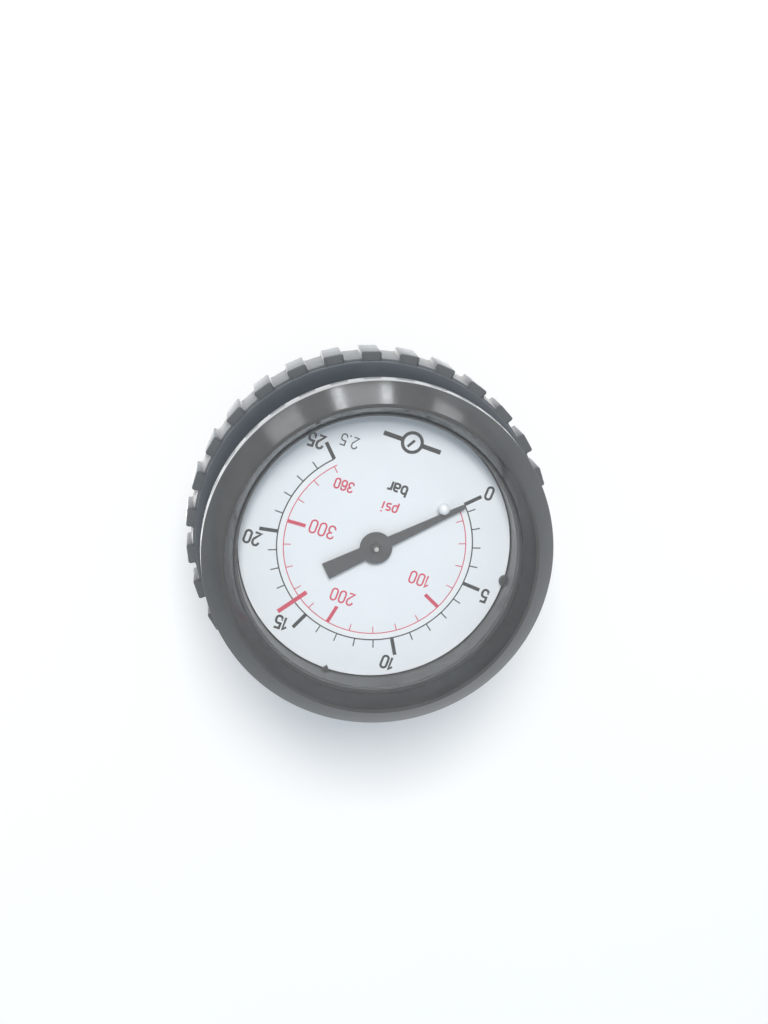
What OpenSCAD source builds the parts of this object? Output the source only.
// Panel pressure gauge with a Bourdon tube, nominal size 50.
// Origin: centre of the connection's sealing face. +Z runs out of the dial and
// +Y points to 12 o'clock on the dial. All sizes are in millimetres.

/* [Connection] */
// Major diameter of the connection thread
thread_d = 13.157; // [11:0.001:13.6]
// Length of the stem below the sealing face
stem_len = 13; // [9:0.5:20]
// Width across flats of the square
square_af = 14; // [13.8:0.1:15]
// Height of the square, from the sealing face to the case
square_h = 7.5; // [5:0.5:12]
// Diameter of the spigot at the end of the stem
spigot_d = 5; // [4.8:0.1:6]
// Length of the spigot
spigot_len = 2; // [1:0.5:3]
// Pressure bore through the stem
bore_d = 3; // [2:0.1:3.2]
// Bore for the restrictor screw
restrictor_d = 4; // [3.5:0.1:4.2]
// Length of the restrictor screw
restrictor_len = 3.6; // [2.5:0.1:5]

/* [Case] */
// Inside diameter of the case
case_bore_d = 42; // [41:0.1:54]
// Thickness of the case wall, to the crests of its thread
case_wall = 3.4; // [3.1:0.1:5]
// Thickness of the case's rear wall
floor_t = 2.5; // [2.2:0.1:4]
// Clearance between the movement's screw heads and the dial
dial_clear = 0.9; // [0.5:0.1:6]
// Height of the case wall above the dial
lip_h = 4.8; // [4.6:0.1:7]
// How far the snap rim stands out from the case at the front
rim_snap = 0.6; // [0.4:0.05:1]
// Thickness of the snap rim
rim_t = 0.7; // [0.5:0.1:1]
// Number of ribs that carry the dial
rib_count = 6; // [3:1:8]
// Width of a rib
rib_w = 2; // [1:0.1:3]
// How far a rib stands in from the wall
rib_h = 1.1; // [0.8:0.1:1.6]

/* [Socket] */
// Thickness of the socket's flange
flange_t = 3; // [2.6:0.1:4]
// Height of the socket's block above its flange
block_h = 6; // [6:0.1:8]

/* [Bezel and window] */
// Thickness of the bezel outside the case rim
bezel_wall = 1.45; // [1.1:0.05:3]
// Width of the bezel's outer flank
flank_w = 2.95; // [2.5:0.05:3.3]
// Width of the bezel's front rim
front_w = 0.45; // [0.3:0.05:0.8]
// How far the bezel stands in over the window
window_lap = 1; // [0.5:0.1:1.1]
// Height of the bezel above the window
bezel_h = 3.25; // [2:0.05:5]
// Thickness of the hook that snaps behind the case rim
hook_t = 0.85; // [0.6:0.05:1.5]
// How far the window rests on the case lip
window_seat = 1.7; // [1.5:0.1:2.2]
// Thickness of the window
window_t = 1.1; // [0.8:0.1:1.6]
// Thickness of the window gasket
gasket_t = 0.3; // [0.2:0.05:0.6]

/* [Ring nut] */
// Thickness of the ring nut under its teeth
nut_wall = 3.15; // [2:0.05:5]
// Depth of the teeth
tooth_h = 1.07; // [0.6:0.01:1.2]
// Number of teeth
tooth_count = 30; // [12:1:36]
// Share of the pitch that a tooth fills
tooth_share = 0.53; // [0.4:0.01:0.6]
// Corner radius of a tooth
tooth_r = 0.35; // [0.1:0.05:0.45]
// Angle of the first tooth
tooth_phase = 2.1; // [0:0.1:12]
// Height of the ring nut
nut_h = 7.4; // [5:0.1:9]
// Distance from the case's rear face to the nut
nut_back = 5.4; // [3:0.1:7]
// Width of the clamp washer
washer_w = 2.6; // [1.5:0.1:3.2]
// Thickness of the clamp washer
washer_t = 1.1; // [0.8:0.1:2]

/* [Dial and pointer] */
// Clearance round the dial's edge
dial_gap = 0.2; // [0.1:0.05:0.5]
// Thickness of the dial
dial_t = 0.5; // [0.3:0.05:0.8]
// Hole in the middle of the dial
dial_hole_d = 3.2; // [2:0.1:4]
// Radius of the scale's black arc
scale_r = 15; // [14:0.1:16]
// Direction of the zero mark
zero_angle = 225; // [225:1:225]
// Sweep of the scale
sweep = 270; // [240:1:270]
// Height of the pointer's front face above the dial
pointer_z = 1.3; // [1.2:0.1:2]
// Thickness of the pointer
pointer_t = 0.4; // [0.2:0.05:0.6]
// Diameter of the pointer's disc
disc_d = 4.95; // [4:0.05:6]
// Width of the needle at the disc
needle_root_w = 1.75; // [1:0.05:2.4]
// Width of the needle at its tip
needle_tip_w = 0.69; // [0.3:0.01:1]
// Length of the tail
tail_len = 8.4; // [5:0.1:10]
// Width of the tail at the disc
tail_root_w = 1.92; // [1:0.01:3]
// Width of the tail at its end
tail_end_w = 2.6; // [1:0.1:4]
// Diameter of the stop pin's shank
stop_d = 0.9; // [0.6:0.05:1]
// Diameter of the stop pin's head
stop_head_d = 1.8; // [1:0.1:2]
// Distance of the stop pin from the centre
stop_r = 11.9; // [10:0.1:13]
// Gap between the needle and the stop pin
stop_gap = 0.35; // [0.3:0.01:0.5]
// Height of the stop pin's head above the needle's front face
stop_lift = 0.7; // [0.7:0.1:1.2]

/* [Movement] */
// Gear module
gear_m = 0.2; // [0.2:0.01:0.21]
// Teeth on the pinion
pinion_teeth = 12; // [12:1:12]
// Teeth that a full circle of the sector would have
sector_teeth = 84; // [84:1:84]
// Thickness taken off each tooth for backlash
backlash = 0.05; // [0.04:0.01:0.08]
// Direction of the sector's arbor from the pinion
sector_dir = -30; // [-34:1:-28]
// Thickness of the sector
sector_t = 0.8; // [0.5:0.1:1]
// Distance from the sector's arbor to its tail pin
tail_r = 3.6; // [3.4:0.1:3.8]
// Thickness of the movement plates
plate_t = 0.8; // [0.6:0.1:1.2]
// Gap between the movement plates
plate_gap = 5; // [4.8:0.1:6]
// Diameter of the pillars
pillar_d = 1.8; // [1.6:0.1:2]
// Diameter of the arbors
arbor_d = 1; // [0.8:0.05:1.1]
// Diameter of the pinion arbor's front end
arbor_tip_d = 0.8; // [0.5:0.05:0.9]
// Diameter of the link pins
link_pin_d = 0.72; // [0.5:0.02:0.8]
// Width of the link
link_w = 1.4; // [1:0.1:1.6]
// Thickness of the link
link_t = 0.5; // [0.3:0.05:0.6]
// Turns of the hairspring
spring_turns = 5; // [3:1:6]
// Thickness of the hairspring strip
spring_t = 0.1; // [0.06:0.01:0.14]
// Height of the hairspring strip
spring_h = 0.5; // [0.3:0.05:0.6]

/* [Bourdon tube] */
// Radius of the tube's centre line
tube_r = 15.5; // [15.3:0.1:16]
// Arc of the tube
tube_arc = 250; // [240:1:255]
// Thickness of the flattened tube, across the arc
tube_w = 2.2; // [1.8:0.1:2.4]
// Height of the flattened tube, along the case's axis
tube_h = 5.4; // [4:0.1:5.4]
// Wall of the tube
tube_wall = 0.35; // [0.2:0.05:0.5]

/* [Fits] */
// Radial clearance of a shaft that turns in its hole
running = 0.05; // [0.02:0.01:0.08]
// Radial clearance at the link's open pivot
open_pivot = 0.19; // [0.18:0.01:0.24]
// Clearance between parts that are assembled
fit = 0.05; // [0.02:0.01:0.1]

/* [Hidden] */
$fn = 96;

// Radii of the case, the bezel, the window and the ring nut
bore_r = case_bore_d / 2;
case_r = bore_r + case_wall;
rim_r = case_r + rim_snap;
bezel_r = rim_r + fit + bezel_wall;
rim_out_r = bezel_r - flank_w;
rim_in_r = rim_out_r - front_w;
window_r = bore_r + window_seat;
sight_r = window_r - window_lap;
dial_r = bore_r - dial_gap;
nut_bore_r = case_r + running;
nut_root_r = nut_bore_r + nut_wall;
nut_tip_r = nut_root_r + tooth_h;
washer_gap = 0.3;
washer_in_r = case_r + washer_gap;
washer_r = washer_in_r + washer_w;

// Height of the heads of the screws in the front plate
plate_head_h = 0.8;

// Levels along the axis, from the sealing face to the front
z_case = square_h;
z_floor = z_case + floor_t;
z_flange = z_floor + flange_t;
z_block = z_flange + block_h;
z_back_top = z_block + plate_t;
z_front_plate = z_back_top + plate_gap;
z_front_top = z_front_plate + plate_t;
z_dial_back = z_front_top + plate_head_h + dial_clear;
z_dial = z_dial_back + dial_t;
z_lip = z_dial + lip_h;
z_window = z_lip + gasket_t;
z_sight = z_window + window_t;
z_front = z_sight + bezel_h;
z_seat = z_lip - rim_t - fit - hook_t;
z_nut = z_case + nut_back;
z_washer = z_nut + nut_h;

// Socket inside the case
flange_r = 11;
ear_r = 3.5;
neck_r = 9;
block_x = 13;
block_y = 16;
screw_x = 12;
screw_r = 1.5;
seal_r = 0.7;
lug_x = [-2, 3.5];
lug_wall = 1;
tube_grip = 4;
tube_z = (z_flange + z_block) / 2 - 0.1;

// Movement plates and what turns between them
z_back = z_block;
arbor_gap = 0.2;
z_sector = z_back_top + 1.8;
z_link = z_sector + sector_t + 0.25;
z_spring = z_link + link_t + 0.2;
z_pin_head = z_link + link_t + 0.15;
pin_head_r = 0.75;
pin_head_t = 0.3;
eye_r = 1.1;

// Gears
pressure_angle = 25;
addendum = 0.85 * gear_m;
dedendum = 1.15 * gear_m;
pinion_r = gear_m * pinion_teeth / 2;
sector_r = gear_m * sector_teeth / 2;
centres = pinion_r + sector_r;
pitch_angle = 360 / sector_teeth;
ratio = sector_teeth / pinion_teeth;
sector_swing = sweep / ratio;
mesh_dir = sector_dir + 180;
spare_teeth = 1;
driven_teeth = ceil(sector_swing / pitch_angle);
sector_hub_r = 1.8;
sector_rim = 1.2;
flank_steps = 5;

// Link geometry at rest
sector_at = centres * [cos(sector_dir), sin(sector_dir)];
tail_at = sector_at + tail_r * [cos(-sector_swing / 2), sin(-sector_swing / 2)];
tip_at = [12.6, 5.5];
tube_free = 270 - tube_arc;
tip_len = 3.2;
tip_wall = 0.6;

// Places of the pillars and screws on the movement plates
pillar_reach = 5.5;
pillar_at = [[-5.2, 3],
    sector_at + pillar_reach * [cos(75), sin(75)],
    sector_at + pillar_reach * [cos(-110), sin(-110)]];
plate_corner = [-5, -5];
plate_edge = 2;
plate_screw_r = 0.5;
plate_screw_len = 1.6;
movement_screw_at = [[-4.4, -4.4], [3.6, -6.2]];
movement_screw_r = 0.6;
movement_screw_len = 3.2;

// Hairspring
collet_r = 1.3;
collet_h = 0.8;
stud_r = 0.5;
stud_at = 4.6 * [cos(60), sin(60)];
spiral_steps = 24;

// Pointer
disc_r = disc_d / 2;
hub_r = 1.5;
hub_neck_r = 0.8;
hub_top = 0.6;
arbor_top = 0.8;
hub_lift = 0.4;
needle_tip_bevel = 0.3;
stop_share = (stop_r - disc_r) / (scale_r - disc_r);
stop_half_w = (needle_root_w + (needle_tip_w - needle_root_w) * stop_share) / 2;
stop_dir = zero_angle + asin((stop_half_w + stop_d / 2 + stop_gap) / stop_r);
stop_head_z = pointer_z + stop_lift;

// Radius rotated to a direction
function polar(r, a) = r * [cos(a), sin(a)];

// Points of an arc about the origin
function arc(r, from, to, steps) = [for (i = [0:steps]) polar(r, from + (to - from) * i / steps)];

// Involute of a pressure angle, in degrees
function involute(a) = tan(a) * 180 / PI - a;

// Half of a tooth's angle at radius r, for a gear with pitch radius rp and z teeth
function tooth_half(r, rp, z) = 90 / z - backlash / 2 / rp * 180 / PI + involute(pressure_angle)
    - involute(acos(min(1, rp * cos(pressure_angle) / r)));

// Outline of one tooth, from one root point to the other
function tooth(rp, z, a) = let (
    root = rp - dedendum,
    low = max(root, rp * cos(pressure_angle)),
    high = rp + addendum,
    flank = [for (i = [0:flank_steps]) low + (high - low) * i / flank_steps])
    concat([polar(root, a - tooth_half(low, rp, z))],
        [for (r = flank) polar(r, a - tooth_half(r, rp, z))],
        [for (i = [flank_steps:-1:0]) polar(flank[i], a + tooth_half(flank[i], rp, z))],
        [polar(root, a + tooth_half(low, rp, z))]);

// One tooth of the ring nut: root land, side, rounded corners and top
function nut_tooth(a) = let (
    half = 180 / tooth_count * tooth_share,
    corner = tooth_r / nut_tip_r * 180 / PI,
    low = nut_tip_r - tooth_r)
    concat(arc(nut_root_r, a - 180 / tooth_count, a - half, 3),
        [for (t = [0:30:90]) polar(low + tooth_r * sin(t), a - half + corner * (1 - cos(t)))],
        [for (t = [90:-30:0]) polar(low + tooth_r * sin(t), a + half - corner * (1 - cos(t)))],
        [polar(nut_root_r, a + half)]);

// A ring between two radii
module ring(outer, inner, h) {
    difference() {
        cylinder(r = outer, h = h);
        translate([0, 0, -1]) cylinder(r = inner, h = h + 2);
    }
}

// A flat bar between two points with an eye at each end
module bar(a, b, w, t) {
    along = b - a;
    translate(a) rotate(atan2(along.y, along.x)) translate([0, -w / 2, 0]) cube([norm(along), w, t]);
    translate(a) cylinder(r = eye_r, h = t);
    translate(b) cylinder(r = eye_r, h = t);
}

// Section of the flattened tube, grown by g
module tube_section(g) {
    r = tube_w / 2 + g;
    straight = tube_h - tube_w;
    translate([tube_r - r, tube_z - straight / 2]) square([2 * r, straight]);
    for (side = [-1, 1]) translate([tube_r, tube_z + side * straight / 2]) circle(r = r);
}

// Case: a threaded cup with ribs for the dial, nubs that hold it down and a snap rim
module case() {
    chamfer = 0.6;
    color([0.09, 0.1, 0.1]) {
        difference() {
            rotate_extrude() polygon([[0, z_case], [case_r - chamfer, z_case],
                [case_r, z_case + chamfer], [case_r, z_lip - rim_t],
                [rim_r, z_lip - rim_t], [rim_r, z_lip], [bore_r, z_lip],
                [bore_r, z_floor], [0, z_floor]]);
            translate([0, 0, z_case - 1]) cylinder(r = neck_r + 0.15, h = floor_t + 2);
            translate([0, 0, z_floor - 2 * seal_r - fit])
                cylinder(r = neck_r + 0.15 + 2 * seal_r + fit, h = floor_t);
            for (side = [-1, 1]) translate([side * screw_x, 0, z_case - 1])
                cylinder(r = screw_r + 0.1, h = floor_t + 2);
        }
        for (i = [0:rib_count - 1]) rotate(30 + i * 360 / rib_count)
            translate([bore_r - rib_h, -rib_w / 2, z_floor])
                cube([rib_h + 0.5, rib_w, z_dial_back - z_floor]);
        translate([0, 0, z_dial]) dial_nubs();
    }
}

// Nubs that hold the dial down: rounded at 9 o'clock, pointed at 12, small at 3
module dial_nubs() {
    nub_t = 0.7;
    root = 0.5;
    rotate(184) translate([bore_r - 0.05, 0, 0]) cylinder(r = 0.9, h = nub_t);
    rotate(89) linear_extrude(nub_t)
        polygon([[bore_r - 0.85, 0], [bore_r + root, -1], [bore_r + root, 1]]);
    rotate(1) linear_extrude(nub_t)
        polygon([[bore_r - 0.45, -0.4], [bore_r + root, -1.2], [bore_r + root, 1.2], [bore_r - 0.45, 0.4]]);
}

// Bezel: a ring that holds the window down and snaps behind the case rim
module bezel() {
    edge = 0.2;
    color([0.1, 0.11, 0.11]) rotate_extrude() polygon([
        [case_r + 2 * fit, z_seat], [case_r + 2 * fit, z_seat + hook_t],
        [rim_r + fit, z_seat + hook_t], [rim_r + fit, z_lip + fit],
        [window_r + fit, z_lip + fit], [window_r + fit, z_sight],
        [sight_r, z_sight], [rim_in_r, z_front - edge], [rim_in_r + edge / 2, z_front],
        [rim_out_r - edge / 2, z_front], [rim_out_r, z_front - edge / 2],
        [bezel_r - edge / 2, z_sight], [bezel_r, z_sight - edge],
        [bezel_r, z_seat + edge], [bezel_r - edge, z_seat]]);
}

module window() {
    color([0.9, 0.95, 0.97, 0.3]) translate([0, 0, z_window]) cylinder(r = window_r, h = window_t);
}

module window_gasket() {
    color([0.05, 0.05, 0.05]) translate([0, 0, z_lip])
        ring(window_r, bore_r + dial_gap, gasket_t);
}

module dial() {
    color([0.9, 0.94, 0.97]) difference() {
        translate([0, 0, z_dial_back]) cylinder(r = dial_r, h = dial_t);
        translate([0, 0, z_dial_back - 1]) cylinder(d = dial_hole_d, h = dial_t + 2);
        rotate(stop_dir) translate([stop_r, 0, z_dial_back - 1]) cylinder(d = stop_d, h = dial_t + 2);
    }
}

// Stop pin: a shank riveted through the dial, with a ball head over the needle
module stop_pin() {
    rivet_t = 0.3;
    color("white") rotate(stop_dir) translate([stop_r, 0, z_dial]) {
        translate([0, 0, -dial_t - rivet_t]) cylinder(d = stop_d, h = dial_t + rivet_t + stop_head_z);
        translate([0, 0, -dial_t - rivet_t]) cylinder(d = stop_d + 0.6, h = rivet_t);
        translate([0, 0, stop_head_z]) sphere(d = stop_head_d);
    }
}

// Pointer: disc, tapered needle and flared tail, cut from one sheet
module pointer() {
    color([0.08, 0.08, 0.08]) rotate(zero_angle) translate([0, 0, z_dial + pointer_z - pointer_t])
        difference() {
            union() {
                cylinder(r = disc_r, h = pointer_t);
                linear_extrude(pointer_t) polygon([[0, -needle_root_w / 2],
                    [scale_r - needle_tip_bevel, -needle_tip_w / 2], [scale_r, 0],
                    [scale_r - needle_tip_bevel, needle_tip_w / 2], [0, needle_root_w / 2]]);
                linear_extrude(pointer_t) polygon([[0, tail_root_w / 2], [-tail_len, tail_end_w / 2],
                    [-tail_len, -tail_end_w / 2], [0, -tail_root_w / 2]]);
            }
            translate([0, 0, -1]) cylinder(r = hub_neck_r, h = pointer_t + 2);
        }
}

// Bush that the pointer is staked to, pressed on the pinion arbor
module pointer_hub() {
    color([0.12, 0.12, 0.12]) translate([0, 0, z_dial]) difference() {
        union() {
            translate([0, 0, hub_lift]) cylinder(r = hub_r, h = pointer_z - pointer_t - hub_lift);
            translate([0, 0, hub_lift]) cylinder(r = hub_neck_r, h = pointer_z + hub_top - hub_lift);
        }
        cylinder(d = arbor_tip_d, h = 9);
    }
}

// Pinion and its arbor, which carries the pointer in front of the dial
module pinion() {
    teeth_h = sector_t + 0.6;
    root = pinion_r - dedendum;
    z_tip = z_dial + pointer_z + arbor_top;
    color([0.8, 0.68, 0.36]) {
        translate([0, 0, z_back + arbor_gap])
            cylinder(d = arbor_d, h = z_dial + hub_lift / 2 - z_back - arbor_gap);
        translate([0, 0, z_dial]) cylinder(d = arbor_tip_d, h = z_tip - z_dial);
        translate([0, 0, z_sector - 0.3]) cylinder(r = root, h = teeth_h);
        translate([0, 0, z_sector - 0.3]) linear_extrude(teeth_h)
            polygon([for (i = [0:pinion_teeth - 1])
                each tooth(pinion_r, pinion_teeth, sector_dir + i * 360 / pinion_teeth)]);
    }
}

// Hairspring: a flat spiral from the collet out to the stud
module hairspring() {
    inner = collet_r + spring_t / 2;
    outer = norm(stud_at) - stud_r - spring_t / 2;
    last = spring_turns * spiral_steps;
    function spiral(i, side) = polar(inner + (outer - inner) * i / last + side * spring_t / 2,
        60 + 360 * i / spiral_steps);
    color([0.75, 0.6, 0.3]) translate([0, 0, z_spring]) linear_extrude(spring_h)
        polygon(concat([for (i = [0:last]) spiral(i, 1)], [for (i = [last:-1:0]) spiral(i, -1)]));
}

module hairspring_collet() {
    color([0.78, 0.62, 0.3]) translate([0, 0, z_spring - (collet_h - spring_h) / 2])
        ring(collet_r, arbor_d / 2, collet_h);
}

module hairspring_stud() {
    color([0.78, 0.62, 0.3]) translate([stud_at.x, stud_at.y, z_spring])
        cylinder(r = stud_r, h = z_front_plate - z_spring);
}

// Outline shared by both movement plates, with the arbor holes and the pillar holes
module movement_plate(z, screw_hole_r) {
    translate([0, 0, z]) difference() {
        hull() {
            for (p = concat(pillar_at, [plate_corner]))
                translate(p) cylinder(r = plate_edge, h = plate_t, $fn = 32);
        }
        translate([0, 0, -1]) {
            cylinder(r = arbor_d / 2 + running, h = plate_t + 2);
            translate(sector_at) cylinder(r = arbor_d / 2 + running, h = plate_t + 2);
            if (screw_hole_r > 0)
                for (p = pillar_at) translate(p) cylinder(r = screw_hole_r, h = plate_t + 2);
        }
    }
}

module front_plate() {
    color([0.82, 0.7, 0.4]) movement_plate(z_front_plate, plate_screw_r);
}

module back_plate() {
    color([0.82, 0.7, 0.4]) difference() {
        movement_plate(z_back, 0);
        for (p = movement_screw_at) translate([p.x, p.y, z_back - 1])
            cylinder(r = movement_screw_r, h = plate_t + 2);
    }
}

// Pillars between the plates, tapped at the front
module plate_pillars() {
    color([0.8, 0.66, 0.35]) for (p = pillar_at) translate([p.x, p.y, z_back_top]) difference() {
        cylinder(d = pillar_d, h = plate_gap);
        translate([0, 0, plate_gap - plate_screw_len]) cylinder(r = plate_screw_r, h = plate_screw_len + 1);
    }
}

// A cheese-head screw, head up, with its seat at z = 0
module cheese_screw(head_r, head_h, r, len) {
    slot = head_r / 3;
    difference() {
        union() {
            cylinder(r = head_r, h = head_h);
            translate([0, 0, -len]) cylinder(r = r, h = len + head_h / 2);
        }
        translate([-head_r - 1, -slot / 2, head_h / 2]) cube([2 * head_r + 2, slot, head_h]);
    }
}

module plate_screws() {
    color("silver") for (p = pillar_at) translate([p.x, p.y, z_front_top])
        cheese_screw(1.1, plate_head_h, plate_screw_r, plate_t + plate_screw_len);
}

module movement_screws() {
    color("silver") for (p = movement_screw_at) translate([p.x, p.y, z_back_top])
        cheese_screw(1.2, 1, movement_screw_r, movement_screw_len);
}

// Toothed sector: hub, lightened web, toothed rim and the tail for the link
module sector_gear() {
    first = -driven_teeth - spare_teeth;
    last = spare_teeth;
    root = sector_r - dedendum;
    from = mesh_dir + first * pitch_angle;
    to = mesh_dir + (last + 1) * pitch_angle;
    margin = 7;
    tail_half_w = 0.8;
    color([0.8, 0.66, 0.35]) translate([sector_at.x, sector_at.y, z_sector]) difference() {
        union() {
            cylinder(r = sector_hub_r, h = sector_t);
            linear_extrude(sector_t) polygon(concat([[0, 0], polar(root, from)],
                [for (k = [first:last])
                    each tooth(sector_r, sector_teeth, mesh_dir + (k + 0.5) * pitch_angle)],
                [polar(root, to)]));
            bar([0, 0], tail_at - sector_at, 2 * tail_half_w, sector_t);
        }
        translate([0, 0, -1]) cylinder(d = arbor_d, h = sector_t + 2);
        translate([0, 0, -1]) translate(tail_at - sector_at) cylinder(d = link_pin_d, h = sector_t + 2);
        translate([0, 0, -1]) linear_extrude(sector_t + 2) polygon(concat(
            arc(sector_hub_r + 1.4, to - margin - 8, from + margin + 8, 6),
            arc(root - sector_rim, from + margin, to - margin, 10)));
    }
}

module sector_arbor() {
    color([0.72, 0.72, 0.7]) translate([sector_at.x, sector_at.y, z_back + arbor_gap])
        cylinder(d = arbor_d, h = z_front_top - arbor_gap - z_back - arbor_gap);
}

// A headed link pin standing on a lever
module link_pin(at) {
    translate([at.x, at.y, z_sector]) cylinder(d = link_pin_d, h = z_pin_head + pin_head_t - z_sector);
    translate([at.x, at.y, z_pin_head]) cylinder(r = pin_head_r, h = pin_head_t);
}

module tail_pin() {
    color("silver") link_pin(tail_at);
}

module tip_pin() {
    color("silver") link_pin(tip_at);
}

// Link from the tube tip to the sector's tail, with a free hole at the tail end
module link() {
    color([0.8, 0.66, 0.35]) difference() {
        translate([0, 0, z_link]) bar(tip_at, tail_at, link_w, link_t);
        translate([tip_at.x, tip_at.y, z_link - 1]) cylinder(r = link_pin_d / 2 + running, h = link_t + 2);
        translate([tail_at.x, tail_at.y, z_link - 1])
            cylinder(r = link_pin_d / 2 + open_pivot, h = link_t + 2);
    }
}

// End piece that closes the tube, with a post and an arm for the link
module tube_tip() {
    block_w = tube_w + 2 * tip_wall;
    z_low = tube_z - tube_h / 2;
    post_w = 1.8;
    post_at = polar(tube_r, tube_free) + polar(tip_len / 2, tube_free - 90);
    color([0.8, 0.66, 0.35]) {
        rotate(tube_free) translate([tube_r - block_w / 2, -tip_len, z_low]) cube([block_w, tip_len, tube_h]);
        translate([post_at.x, post_at.y, z_low + tube_h / 2]) cylinder(d = post_w, h = z_sector - z_low - 1);
        difference() {
            translate([0, 0, z_sector]) bar(post_at, tip_at, post_w, sector_t);
            translate([tip_at.x, tip_at.y, z_sector - 1]) cylinder(d = link_pin_d, h = sector_t + 2);
        }
    }
}

// Bourdon tube: a flattened tube bent to a C, open into the socket at its fixed end
module bourdon_tube() {
    color([0.78, 0.58, 0.32]) rotate(tube_free) rotate_extrude(angle = tube_arc + tube_grip) difference() {
        tube_section(0);
        tube_section(-tube_wall);
    }
}

// Socket: threaded stem, square, neck, flange with ears, block and lug for the tube
module socket() {
    stem_r = thread_d / 2;
    z_thread = spigot_len - stem_len;
    lead = 1;
    lug_y = tube_r + tube_w / 2 + lug_wall;
    color([0.83, 0.69, 0.38]) difference() {
        union() {
            translate([0, 0, -stem_len]) cylinder(d = spigot_d, h = stem_len);
            translate([0, 0, z_thread]) cylinder(r1 = stem_r - lead, r2 = stem_r, h = lead);
            translate([0, 0, z_thread + lead]) cylinder(r = stem_r, h = -z_thread - lead);
            intersection() {
                translate([-square_af / 2, -square_af / 2, 0]) cube([square_af, square_af, square_h - 0.5]);
                cylinder(r = neck_r, h = square_h);
            }
            translate([0, 0, square_h - 0.5]) cylinder(r = neck_r, h = z_floor - square_h + 0.5);
            translate([0, 0, z_floor]) cylinder(r = flange_r, h = flange_t);
            translate([-screw_x, -ear_r, z_floor]) cube([2 * screw_x, 2 * ear_r, flange_t]);
            for (side = [-1, 1]) translate([side * screw_x, 0, z_floor]) cylinder(r = ear_r, h = flange_t);
            translate([-block_x / 2, -block_y / 2, z_floor]) cube([block_x, block_y, flange_t + block_h]);
            translate([lug_x[0], -lug_y, z_floor]) cube([lug_x[1] - lug_x[0], lug_y, flange_t + block_h]);
        }
        translate([0, 0, -stem_len - 1]) cylinder(d = restrictor_d, h = restrictor_len + 1.4);
        translate([0, 0, -stem_len - 1]) cylinder(d = bore_d, h = tube_z + stem_len + 1);
        translate([0, 0, tube_z]) rotate([90, 0, 0]) cylinder(d = 1.8, h = tube_r);
        rotate(tube_free + tube_arc - 20) rotate_extrude(angle = 20 + tube_grip + 0.3) tube_section(fit);
        for (side = [-1, 1]) translate([side * screw_x, 0, z_floor - 1])
            cylinder(r = screw_r, h = flange_t + 0.6);
        for (p = movement_screw_at) translate([p.x, p.y, z_back + plate_t - movement_screw_len - 0.2])
            cylinder(r = movement_screw_r, h = movement_screw_len + 1);
    }
}

module socket_seal() {
    color([0.06, 0.06, 0.06]) rotate_extrude()
        translate([neck_r + 0.1 + seal_r, z_floor - seal_r - fit / 2]) circle(r = seal_r);
}

// Restrictor screw in the stem's mouth, with a fine hole and a driver slot
module restrictor_screw() {
    inset = 0.2;
    color([0.8, 0.66, 0.35]) translate([0, 0, -stem_len + inset]) difference() {
        cylinder(r = restrictor_d / 2 - 0.03, h = restrictor_len);
        translate([0, 0, -1]) cylinder(r = 0.25, h = restrictor_len + 2);
        translate([-restrictor_d, -0.3, -1]) cube([2 * restrictor_d, 0.6, 1.8]);
    }
}

module case_screws() {
    color("silver") for (side = [-1, 1]) translate([side * screw_x, 0, z_case]) mirror([0, 0, 1])
        cheese_screw(2.5, 2, screw_r, floor_t + flange_t - 0.6);
}

// Clamp washer between the ring nut and the panel
module clamp_washer() {
    color([0.13, 0.15, 0.16]) translate([0, 0, z_washer]) ring(washer_r, washer_in_r, washer_t);
}

// Ring nut: a threaded ring with square teeth for the fingers
module ring_nut() {
    lead = 0.5;
    color([0.1, 0.11, 0.11]) translate([0, 0, z_nut]) difference() {
        linear_extrude(nut_h) polygon([for (i = [0:tooth_count - 1])
            each nut_tooth(tooth_phase + i * 360 / tooth_count)]);
        translate([0, 0, -1]) cylinder(r = nut_bore_r, h = nut_h + 2);
        translate([0, 0, -lead]) cylinder(r1 = nut_bore_r + 2 * lead, r2 = nut_bore_r, h = 2 * lead);
    }
}

case();
bezel();
window();
window_gasket();
dial();
stop_pin();
pointer();
pointer_hub();
pinion();
hairspring();
hairspring_collet();
hairspring_stud();
front_plate();
back_plate();
plate_pillars();
plate_screws();
movement_screws();
sector_gear();
sector_arbor();
tail_pin();
link();
tip_pin();
tube_tip();
bourdon_tube();
socket();
socket_seal();
restrictor_screw();
case_screws();
clamp_washer();
ring_nut();
